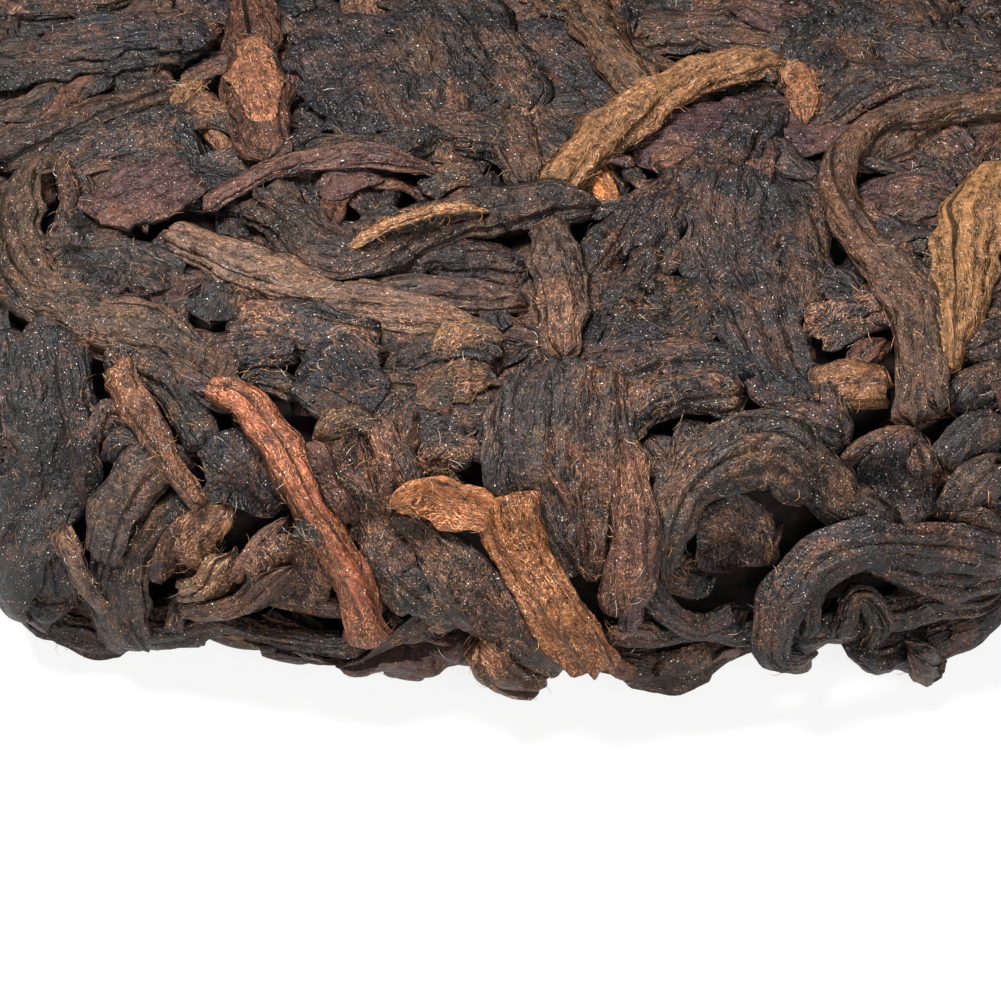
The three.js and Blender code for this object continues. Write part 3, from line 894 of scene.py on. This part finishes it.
def lay_left_rim():
    """The rim left of the middle."""
    roll([(-30, 556), (20, 586), (76, 610)], INK, 3.6, thickness=2.8, cap=2.0)
    roll([(5, 604), (66, 624), (130, 648)], COAL, [2.2, 2.8, 2.2], thickness=2.4, cap=1.6)
    roll([(96, 540), (102, 600), (124, 646)], INK, 2.4, thickness=2.0, cap=1.0)
    roll([(-15, 330), (-8, 420), (-20, 520)], INK, 3.0, cap=0.6)
    roll([(-5, 520), (35, 560), (45, 605)], INK, 3.4, depth=0.34, cap=0.7)
    blade([(48, 326), (46, 400), (40, 470), (12, 545), (-20, 600)], (0.018, 0.017, 0.019),
          [3.6, 4.6, 4.6, 4.2, 3.6], thickness=0.6, fold=0.07, cap=1.3, dip=0.1, start=0.8, wave=3.0, follow=0.22,
          pleats=2, pleat=-0.4, down=0.05)
    roll([(70, 340), (78, 420), (78, 520)], INK, 1.8, cap=0.9)
    roll([(95, 440), (110, 410), (150, 425)], COAL, 1.6)
    roll([(100, 460), (125, 440), (165, 455)], COAL, 1.5)
    roll([(128, 356), (175, 392), (205, 452)], COAL, 2.0, cap=0.9)
    roll([(165, 362), (205, 385), (245, 402)], (0.057, 0.031, 0.026), 1.8, cap=0.8)
    roll([(200, 494), (160, 520), (128, 562), (124, 610), (140, 645)], COAL, [1.8, 2.2, 2.4, 2.4, 2.2], cap=0.9)
    roll([(188, 462), (150, 470), (116, 506), (98, 560)], (0.042, 0.031, 0.026), [1.8, 2.6, 2.8, 2.4], cap=1.3)
    roll([(205, 515), (172, 545), (158, 590)], RUSSET, 1.5, cap=0.6)
    tip([(222, 505), (195, 545), (205, 590)], (0.129, 0.057, 0.031), 1.8, cap=0.9, end=0.5)
    roll([(225, 560), (205, 590), (170, 600)], (0.092, 0.057, 0.034), 1.7, cap=0.8, down=0.8, end=0.4)
    blade([(215, 430), (242, 475), (264, 528)], INK, [2.4, 3.6, 2.6], thickness=0.5, fold=0.15, cap=1.2, start=0.5)
    roll([(238, 590), (262, 545), (280, 520)], (0.092, 0.040, 0.026), 1.6, cap=0.7)
    blade([(262, 540), (285, 590), (312, 635)], BARK, [3.0, 3.8, 2.6], fold=0.45, cap=0.7, down=0.6)
    roll([(180, 622), (240, 608), (292, 572)], RUSSET, 1.8)
    stalk([(116, 370), (150, 425), (180, 470), (208, 508)], (0.120, 0.044, 0.022), [1.6, 1.6, 1.3, 1.0], cap=1.5,
          down=0.5)
    stalk([(57, 530), (84, 570), (114, 605)], (0.092, 0.048, 0.030), 1.4, cap=1.3)
    blade([(330, 405), (350, 470), (372, 540), (398, 640)], BARK, [2.4, 3.0, 2.6, 1.8], fold=0.5, cap=0.8, down=0.5)
    roll([(372, 415), (388, 465), (384, 520)], (0.078, 0.040, 0.026), 2.0, cap=0.9, down=0.5)
    roll([(318, 436), (348, 418), (384, 436)], (0.052, 0.029, 0.019), 1.7, cap=1.0, down=0.5)
    roll([(305, 440), (325, 490), (340, 540)], (0.070, 0.031, 0.023), 1.8, cap=0.8)
    stalk([(212, 396), (255, 412), (290, 470), (326, 545), (350, 600), (370, 658)], (0.215, 0.060, 0.026),
          [1.3, 2.3, 2.1, 2.0, 2.2, 2.4], thickness=1.5, cap=1.9, down=0.6, depth=0.3, lobes=4, edge=0.8)
    blade([(298, 520), (312, 534), (318, 552)], INK, [1.6, 1.9, 0.7], thickness=0.3, fold=0.1, cap=2.1, start=0.3)


def lay_middle_rim():
    """The rim round the amber leaf."""
    blade([(425, 470), (448, 448), (474, 462)], BARK, 2.8, thickness=0.6, fold=0.1, cap=0.9, down=0.5)
    roll([(484, 425), (504, 460), (488, 498)], INK, 1.7, cap=1.0)
    roll([(398, 440), (412, 470), (416, 500)], INK, 1.4, cap=0.7)
    roll([(395, 590), (430, 610), (470, 640)], INK, 2.4, cap=0.3)
    blade([(420, 600), (450, 620), (478, 655)], INK, 2.8, fold=0.4, down=0.6)
    smooth = {"thickness": 0.5, "dip": 0.1, "follow": 0.22, "pleats": 2, "pleat": 0.5, "start": 0.6, "end": 0.8}
    blade([(556, 372), (536, 440), (548, 510), (584, 588)], (0.028, 0.020, 0.022), [2.6, 4.6, 4.8, 1.8],
          fold=0.08, cap=1.6, wave=2.8, down=0.15, **smooth)
    blade([(602, 384), (604, 450), (598, 520), (594, 590)], (0.036, 0.021, 0.018), [2.0, 3.0, 3.2, 1.4],
          fold=0.12, cap=1.9, wave=2.4, down=0.35, **smooth)
    roll([(512, 434), (546, 470), (574, 512), (586, 562)], RUSSET, 0.55, thickness=0.45, cap=2.4, lobes=3, dip=0.1)
    roll([(626, 446), (634, 500), (630, 556), (608, 622)], (0.080, 0.031, 0.021), [1.4, 2.2, 2.6, 1.6], thickness=1.3,
         cap=1.9, down=0.6, depth=0.36, lobes=5)
    roll([(635, 480), (636, 550), (628, 630)], (0.070, 0.031, 0.028), 1.2, cap=1.2)
    roll([(580, 400), (600, 420), (625, 445)], COAL, 2.2, cap=1.3)
    roll([(615, 640), (640, 632), (652, 642)], (0.092, 0.040, 0.026), 1.6, cap=0.8)
    roll([(548, 592), (582, 635), (604, 680)], (0.300, 0.110, 0.040), 1.9, cap=1.2, down=0.7, end=0.7)
    # The amber leaf: a folded half on its lower left side, coloured dark as painted shade, a downy half over it, and
    # its crumpled top.
    half = {"columns": 19, "end": 0.8, "pleats": 2, "dip": 0.1, "ragged": 0.05}
    roll([(486, 640), (520, 664), (566, 692)], AMBER, [1.6, 2.2, 1.6], thickness=1.2, cap=1.4, down=0.7)
    # Painted shade: the amber leaf's shaded lower left side, coloured dark brown.
    blade([(388, 512), (428, 549), (474, 601), (517, 651), (566, 692)], (0.034, 0.019, 0.014),
          [1.2, 2.5, 3.1, 3.3, 1.8], tip_tone=(0.026, 0.018, 0.015), thickness=0.6, fold=0.10, cap=2.0, down=0.3,
          start=0.8, pleat=0.4, follow=0.15, **half)
    blade([(502, 492), (512, 540), (548, 600), (598, 668)], AMBER, [3.4, 2.9, 2.7, 2.0], thickness=1.0, fold=0.08,
          cap=2.9, down=0.75, start=0.3, pleat=0.6, follow=0.1, **half)
    blade([(388, 505), (424, 498), (462, 508), (500, 520)], (0.390, 0.140, 0.044), [0.9, 1.9, 2.6, 2.2],
          thickness=0.8, cap=2.9, start=0.6, end=1.2, fold=0.25, wave=1.6, down=0.75, follow=0.1, dip=0.3,
          pleats=1, pleat=0.7, columns=15)
    roll([(478, 650), (508, 684), (556, 700)], (0.139, 0.057, 0.031), 2.2, thickness=2.0, cap=2.2, down=0.6)


def lay_right_rim():
    """The rim right of the middle."""
    roll([(650, 435), (668, 480), (655, 530)], COAL, 2.5, cap=0.7)
    roll([(705, 425), (690, 455), (672, 500)], INK, 2.0, cap=0.6)
    roll([(650, 555), (690, 588), (722, 590)], INK, 2.4)
    roll([(640, 578), (665, 614), (700, 634), (748, 628)], INK, 1.8, lobes=7, depth=0.34, cap=1.0)
    roll([(765, 528), (778, 556), (792, 530)], (0.083, 0.031, 0.021), 0.9, cap=0.3)
    blade([(700, 512), (738, 545), (738, 590)], COAL, [3.0, 4.6, 3.6], fold=0.5, cap=0.9, down=0.3, end=0.5)
    pleated = {"lobes": 10, "depth": 0.6, "edge": 0.7, "down": 0.25, "crush": 0.05}
    roll([(660, 570), (668, 515), (708, 470), (768, 452), (820, 478), (850, 510), (905, 528)],
         (0.034, 0.025, 0.020), [1.8, 2.6, 3.2, 3.6, 3.4, 2.8, 2.0], thickness=1.6, cap=1.5, twist=0.15,
         **pleated)
    roll([(855, 590), (930, 605), (1015, 602)], COAL, 2.0, cap=0.7, **pleated)
    roll([(870, 625), (940, 622), (1015, 615)], COAL, 2.0, **pleated)
    roll([(1015, 588), (935, 588), (868, 566), (834, 572), (812, 605), (800, 640)], INK, [1.8, 2.0, 2.0, 1.9, 1.8],
         cap=1.2, **pleated)
    roll([(842, 640), (858, 600), (880, 618), (868, 645)], COAL, 1.3, cap=0.9, **pleated)
    roll([(1015, 562), (940, 546), (880, 540), (828, 552), (785, 592), (768, 640), (800, 652)], INK,
         [2.4, 2.4, 2.3, 2.4, 2.3, 2.0, 1.4], thickness=1.5, cap=1.7, twist=0.1, **pleated)


def lay_bottom_edge():
    """The thin pressed leaves along the bottom edge."""
    blade([(-20, 600), (60, 618), (130, 640), (215, 642)], COAL, 2.6, cap=0.3)
    blade([(40, 622), (110, 648), (180, 650)], BARK, 1.8, cap=0.2)
    blade([(-10, 588), (60, 608), (120, 634), (165, 642)], BARK, [2.4, 3.0, 2.8, 1.8], fold=0.15, cap=1.0, down=0.4)
    roll([(140, 640), (220, 642), (300, 655), (372, 668)], COAL, 1.7, cap=0.6)
    blade([(205, 650), (270, 668), (335, 674)], TAN, 1.6, fold=0.15, cap=0.2)
    blade([(290, 655), (360, 672), (440, 648)], BARK, 1.6, cap=0.6)
    blade([(335, 668), (390, 686), (450, 690), (495, 668)], (0.078, 0.035, 0.028), 2.6, thickness=1.6, fold=0.2,
          cap=1.3)
    roll([(605, 662), (700, 656), (800, 645), (905, 642)], COAL, 1.9, lobes=6, cap=0.8)
    roll([(605, 684), (690, 682), (770, 668)], BARK, 1.7, thickness=1.9, cap=1.0)
    roll([(850, 650), (940, 650), (1020, 636)], COAL, 2.4, thickness=2.3, cap=1.7)
    roll([(770, 655), (800, 668), (812, 684)], (0.064, 0.037, 0.031), 1.5, thickness=1.7, cap=1.6)
    roll([(905, 640), (940, 655), (948, 675)], (0.064, 0.037, 0.031), 1.4, thickness=1.7, cap=2.2)


scraps(260, -0.1)
lay_far_top()
lay_near_top()
lay_bottom_edge()
lay_shoulder()
scraps(160, 0.1)
lay_left_rim()
lay_right_rim()
lay_middle_rim()
# More leaves over the hollow underneath.
scatter(75, BODY.navel - 5, BODY.end, 0.0, any_way, BIG, where=False)


BURIED = 0.25  # under this much leaf along its whole length, a leaf is left out
for joined in batches.values():
    joined.drop_hidden(BURIED)

HAIR_COUNT, HAIR_LENGTHS, HAIR_RADII = 14700, (0.25, 1.1), (0.009, 0.017)
HAIR_GOLD, HAIR_WHITE = np.array([0.56, 0.28, 0.12]), np.array([0.75, 0.70, 0.62])
WHITE_HAIRS = 0.08
HAIR_SWING, HAIR_LEAN, HAIR_CURL, HAIR_DROOP = 0.8, (0.05, 0.6), 0.7, 0.22
# Shares of the hairs on the leaves that have them.
HAIRY = {"rolled_leaves_view": 0.42, "leaf_blades_view": 0.26, "golden_tips_view": 0.14, "stalks_view": 0.08,
         "rolled_leaves_front": 0.06, "rolled_scraps": 0.04}


def lay_down_hairs():
    """Short fine hairs, in three spans and curling towards the leaf, on the leaves in view."""
    seats, runs, outs = [], [], []
    for name, share in HAIRY.items():
        tubes = [tube for tube in batches[name].tubes if len(tube[0]) > 6]
        for k in rng.integers(0, len(tubes), int(HAIR_COUNT * share)):
            rings, _, _, downs, _, _ = tubes[k]
            i = rng.integers(1, len(rings) - 2)
            j = rng.integers(0, rings.shape[1])
            run = unit(rings[i + 1, j] - rings[i, j])
            across = unit(rings[i, (j + 1) % rings.shape[1]] - rings[i, j])
            out = np.cross(run, across)
            if out @ (CAMERA - rings[i, j]) < 0 or rng.uniform() > 0.3 + downs[i, j]:
                continue
            seats.append(rings[i, j])
            runs.append(run)
            outs.append(out)
    seats, runs, outs = np.array(seats), unit(np.array(runs)), unit(np.array(outs))
    total = len(seats)
    side = np.cross(runs, outs)
    swing = rng.normal(0, HAIR_SWING, (total, 1))
    lean = rng.uniform(*HAIR_LEAN, (total, 1))
    sign = np.where(rng.uniform(size=(total, 1)) < 0.5, -1, 1)
    first = unit(sign * (runs * np.cos(swing) + side * np.sin(swing)) + outs * lean)
    curl = np.cross(first, outs) * rng.normal(0, HAIR_CURL, (total, 1)) - outs * HAIR_DROOP
    second, third = unit(first + curl), unit(first + curl * 2)
    length = rng.uniform(*HAIR_LENGTHS, (total, 1)) / 3
    knees = seats + first * length
    elbows = knees + second * length
    tips = elbows + third * length
    gold = HAIR_GOLD * rng.uniform(0.4, 1.4, (total, 1))
    white = rng.uniform(size=(total, 1)) < WHITE_HAIRS
    tones = np.where(white, HAIR_WHITE, gold)
    radius = rng.uniform(*HAIR_RADII, total)
    turn = np.arange(3) * 2 * np.pi / 3
    for k in range(total):
        frame_a = unit(np.cross(first[k], outs[k] + 1e-3))
        frame_b = np.cross(frame_a, first[k])
        hoop = (np.cos(turn)[:, None] * frame_a + np.sin(turn)[:, None] * frame_b) * radius[k]
        rings = np.stack([seats[k] - first[k] * 0.05 + hoop, knees[k] + hoop, elbows[k] + hoop * 0.8])
        flat = np.zeros((3, 3, 3))
        batch("down_hairs").tube(rings, flat, flat + tones[k], np.zeros((3, 3)), tip=tips[k])


lay_down_hairs()

CORE_SINK = 0.35  # how far the core lies under the bed of the leaves
CORE_LOW = 0.2  # its least height before it is made lumpy
CORE_STRIDE, CORE_SPANS = 4, 100  # outline stations to a ring, and spans round the axis
CORE_LUMPS, CORE_LUMP = 14, 0.07


def make_core():
    """The packed leaf under the leaves that show, coloured dark as painted shade at the bottom of the gaps: a body
    turned from the outline and made lumpy.
    """
    bm = bmesh.new()
    r, z = BODY.r, BODY.z
    bed = pile.bed(BODY.s) - CORE_SINK
    inner_r, inner_z = np.maximum(r + BODY.out_r * bed, 0), z + BODY.out_z * bed
    keep = np.arange(0, len(r), CORE_STRIDE)
    inner_r[0] = 0
    spine = [bm.verts.new((inner_r[k] * METRES, 0, max(inner_z[k], CORE_LOW) * METRES)) for k in keep]
    spine.append(bm.verts.new((0, 0, max(inner_z[-1], CORE_LOW) * METRES)))
    edges = [bm.edges.new(pair) for pair in zip(spine, spine[1:])]
    bmesh.ops.spin(bm, geom=spine + edges, cent=(0, 0, 0), axis=(0, 0, 1), angle=2 * math.pi, steps=CORE_SPANS,
                   use_merge=True)
    bmesh.ops.remove_doubles(bm, verts=bm.verts, dist=0.02 * METRES)
    bmesh.ops.recalc_face_normals(bm, faces=bm.faces)
    points = np.array([vert.co[:] for vert in bm.verts]) / METRES
    _, normals, _ = BODY.seat(points)
    lump = np.zeros(len(points))
    for _ in range(CORE_LUMPS):
        lane = rng.normal(size=3) * rng.uniform(0.8, 2.6)
        lump += np.sin(points @ lane + rng.uniform(0, 6.3)) * CORE_LUMP
    points = points + normals * lump[:, None]
    points[:, 2] = np.maximum(points[:, 2], SQUEEZED)
    for vert, point in zip(bm.verts, points):
        vert.co = Vector(point * METRES)
    for face in bm.faces:
        face.smooth = True
    mesh = bpy.data.meshes.new("packed_core")
    bm.to_mesh(mesh)
    bm.free()
    mesh.materials.append(packed_leaf())
    piece = bpy.data.objects.new("packed_core", mesh)
    bpy.context.scene.collection.objects.link(piece)
    dress(piece)


class Num:
    """A number socket that does arithmetic."""

    def __init__(self, shade, socket):
        self.shade, self.socket = shade, socket

    def _math(self, operation, first, second):
        """A number worked out from two others."""
        node = self.shade.add("ShaderNodeMath", {"operation": operation}, {0: first, 1: second})
        return Num(self.shade, node.outputs[0])

    def __add__(self, other):
        return self._math("ADD", self, other)

    __radd__ = __add__

    def __sub__(self, other):
        return self._math("SUBTRACT", self, other)

    def __rsub__(self, other):
        return self._math("SUBTRACT", other, self)

    def __mul__(self, other):
        return self._math("MULTIPLY", self, other)

    __rmul__ = __mul__

    def __abs__(self):
        return self._math("ABSOLUTE", self, 0.0)


class Shade:
    """A material being made, with its nodes."""

    def __init__(self, name):
        self.material = bpy.data.materials.new(name)
        self.material.use_nodes = True
        self.tree = self.material.node_tree
        self.tree.nodes.clear()

    def add(self, kind, settings=None, sockets=None):
        """One node of a kind, with its settings, and the values or links of its sockets."""
        node = self.tree.nodes.new(kind)
        for key, value in (settings or {}).items():
            setattr(node, key, value)
        for key, value in (sockets or {}).items():
            if isinstance(value, Num):
                value = value.socket
            if isinstance(value, bpy.types.NodeSocket):
                self.tree.links.new(value, node.inputs[key])
            else:
                node.inputs[key].default_value = value
        return node

    def attribute(self, name, output):
        """What the mesh holds under a name."""
        return self.add("ShaderNodeAttribute", {"attribute_name": name}).outputs[output]

    def scaled(self, vector, amounts):
        """A vector with each part multiplied."""
        node = self.add("ShaderNodeVectorMath", {"operation": "MULTIPLY"}, {0: vector, 1: amounts})
        return node.outputs[0]

    def turned(self, vector, angle, amounts):
        """A vector turned about its third axis, then scaled."""
        turn = self.add("ShaderNodeVectorRotate", {"rotation_type": "Z_AXIS"}, {"Vector": vector, "Angle": angle})
        return self.scaled(turn.outputs[0], amounts)

    def noise(self, vector, detail, roughness):
        """Noise with one wave to a unit of the vector."""
        sockets = {"Vector": vector, "Scale": 1.0, "Detail": detail, "Roughness": roughness}
        return Num(self, self.add("ShaderNodeTexNoise", {}, sockets).outputs[0])

    def span(self, value, low, high, to_low=0.0, to_high=1.0):
        """A value carried from one range to another, and held inside it."""
        sockets = {0: value, 1: low, 2: high, 3: to_low, 4: to_high}
        return Num(self, self.add("ShaderNodeMapRange", {"clamp": True}, sockets).outputs[0])

    def mix(self, factor, first, second, blend="MIX"):
        """Two colours mixed."""
        settings = {"data_type": "RGBA", "blend_type": blend}
        node = self.add("ShaderNodeMix", settings, {0: factor, 6: first, 7: second})
        return node.outputs[2]

    def finish(self, **sockets):
        """The material, with what feeds its surface."""
        shader = self.add("ShaderNodeBsdfPrincipled", {}, sockets)
        self.add("ShaderNodeOutputMaterial", {}, {0: shader.outputs[0]})
        return self.material


def colour(rgb):
    """A colour as a socket holds it."""
    return (*rgb, 1.0)


RUST, GOLDEN_DOWN, PALE_GRAIN_AND_GLINT = (0.095, 0.033, 0.015), (0.34, 0.160, 0.070), (0.78, 0.70, 0.62)
SKIN_SCALE, PATCH_SCALE, GRIT_SCALE, CRUMB_SCALE = 2400.0, 420.0, 13000.0, 900.0  # waves to the metre
LEAF_BUMP, CORE_BUMP = 0.38 * METRES, 0.4 * METRES
ROUGH_LOW, ROUGH_HIGH = 0.35, 0.62


def dry_leaf():
    """Dry leaf: near black skin with a leathery grain, rusty patches, short golden down, pale grains that partly
    stand for painted glints, and painted shade in the hollows and creases of its bump.

    Grain is in millimetres along and round each leaf, and its waves are to the millimetre.
    """
    shade = Shade("dry_leaf")
    grain = shade.attribute("grain", "Vector")
    tone = shade.attribute("tone", "Color")
    down = Num(shade, shade.attribute("down", "Fac"))
    place = shade.add("ShaderNodeTexCoord").outputs["Object"]
    sway = shade.add("ShaderNodeTexNoise", {}, {"Vector": grain, "Scale": 0.9, "Detail": 0.0}).outputs["Color"]
    swayed = shade.add("ShaderNodeVectorMath", {"operation": "MULTIPLY_ADD"},
                       {0: sway, 1: (0.9, 0.5, 0.0), 2: grain}).outputs[0]
    fibres = shade.noise(shade.scaled(swayed, (0.55, 3.4, 1.0)), 3.0, 0.62)
    skin = shade.noise(shade.scaled(place, (SKIN_SCALE,) * 3), 3.0, 0.75)
    patches = shade.noise(shade.scaled(place, (PATCH_SCALE,) * 3), 2.0, 0.62)
    hairs = shade.noise(shade.scaled(swayed, (3.2, 19.0, 1.0)), 1.0, 0.6)
    strays = shade.noise(shade.turned(swayed, 0.7, (3.2, 17.0, 1.0)), 1.0, 0.6)
    loose = shade.noise(shade.turned(swayed, -0.9, (3.4, 18.0, 1.0)), 1.0, 0.6)
    grit = shade.noise(shade.scaled(place, (GRIT_SCALE,) * 3), 0.0, 0.5)
    crumple = abs(shade.noise(shade.scaled(swayed, (0.42, 0.85, 1.0)), 1.0, 0.5) - 0.5)
    mottle = fibres * 0.45 + skin * 0.55
    # Mottle of the leaf's colour, and painted shade: the colour darkens where fibres and skin lie low in the bump,
    # and in the crumple creases.
    shadow = shade.span(mottle, 0.38, 0.66, 0.10, 1.25) * shade.span(crumple, 0.0, 0.06, 0.55, 1.0)
    grey = shade.add("ShaderNodeCombineColor", {}, {0: shadow, 1: shadow, 2: shadow}).outputs[0]
    base = shade.mix(1.0, tone, grey, "MULTIPLY")
    rust_share = shade.span(patches * 0.55 + skin * 0.45, 0.49, 0.62) * (down * 0.9 + 0.18)
    rusty = shade.mix(rust_share, base, colour(RUST))
    thick_down = shade.span(patches, 0.40, 0.62, 0.15, 1.0) * (down * 1.3 + 0.12)
    streaks = shade.span(hairs, 0.60, 0.68) + shade.span(strays, 0.62, 0.70) + shade.span(loose, 0.63, 0.71)
    gold = shade.mix(1.0, colour(GOLDEN_DOWN), tone, "ADD")
    downy = shade.mix(shade.span(streaks * thick_down, 0.0, 1.0), rusty, gold)
    # Pale grains of dust, partly painted glints: they gather on the raised parts of the grain.
    grains = shade.span(grit, 0.77, 0.83) * shade.span(mottle, 0.42, 0.56, 0.2, 0.95)
    dusted_and_glinting = shade.mix(grains, downy, colour(PALE_GRAIN_AND_GLINT))
    height = fibres * 0.85 + skin * 0.72 + crumple * 2.2 + grit * 0.06
    bumped = shade.add("ShaderNodeBump", {}, {"Strength": 1.0, "Distance": LEAF_BUMP, "Height": height})
    rough = shade.span(skin + patches * 0.5, 0.55, 0.95, ROUGH_LOW, ROUGH_HIGH)
    return shade.finish(**{"Base Color": dusted_and_glinting, "Roughness": rough, "Normal": bumped.outputs[0],
                           "Specular IOR Level": 0.28})


def packed_leaf():
    """The packed leaf at the bottom of the gaps, coloured darker than the leaves over it as painted shade."""
    shade = Shade("packed_leaf")
    place = shade.add("ShaderNodeTexCoord").outputs["Object"]
    crumb = shade.noise(shade.scaled(place, (CRUMB_SCALE,) * 3), 3.0, 0.6)
    # Painted shade: colours darker than the leaves above, for the bottom of the gaps.
    base = shade.mix(shade.span(crumb, 0.4, 0.7), colour((0.005, 0.004, 0.004)), colour((0.018, 0.011, 0.008)))
    bumped = shade.add("ShaderNodeBump", {}, {"Strength": 1.0, "Distance": CORE_BUMP, "Height": crumb})
    return shade.finish(**{"Base Color": base, "Roughness": 0.9, "Normal": bumped.outputs[0],
                           "Specular IOR Level": 0.1})


FLOOR_GREY, FLOOR_GLOW = 0.25, 0.81  # together they come out white, with pale shadows
ROOM_LIGHT = 0.07


def make_stage():
    """A pale floor and soft light."""
    bpy.ops.mesh.primitive_plane_add(size=4, location=(0, 0, 0))
    floor = bpy.context.object
    floor.name = "floor"
    white = Shade("pale_floor").finish(**{"Base Color": colour((FLOOR_GREY,) * 3), "Roughness": 0.9,
                                          "Emission Color": colour((1, 1, 1)), "Emission Strength": FLOOR_GLOW})
    floor.data.materials.append(white)

    def lamp(name, place, target, size, watts):
        """A soft light that faces a place."""
        data = bpy.data.lights.new(name, "AREA")
        data.shape, data.size, data.size_y, data.energy = "RECTANGLE", size[0], size[1], watts
        light = bpy.data.objects.new(name, data)
        light.location = place
        light.rotation_euler = (Vector(target) - Vector(place)).to_track_quat("-Z", "Y").to_euler()
        bpy.context.scene.collection.objects.link(light)

    lamp("soft_top", (-0.12, -0.07, 0.40), (0, -0.04, 0.0), (0.20, 0.16), 5.3)
    lamp("soft_front", (0.12, -0.50, 0.26), (0, -0.04, 0.0), (0.32, 0.16), 2.4)
    world = bpy.data.worlds.new("pale_room")
    bpy.context.scene.world = world
    world.use_nodes = True
    background = world.node_tree.nodes["Background"]
    background.inputs[0].default_value = (1, 1, 1, 1)
    background.inputs[1].default_value = ROOM_LIGHT
    bpy.context.scene.view_settings.view_transform = "Standard"


# Finish names, by the first words of the pieces' names, handed to build. The others are ripe leaf.
SLOTS = {"golden_tips": "golden_bud", "down": "golden_bud", "stalks": "red_stem"}

leaf_finish = dry_leaf()
make_camera()
make_stage()
make_core()
for name, joined in batches.items():
    joined.build(leaf_finish, SLOTS.get(name.rsplit("_", 1)[0], "ripe_leaf"))
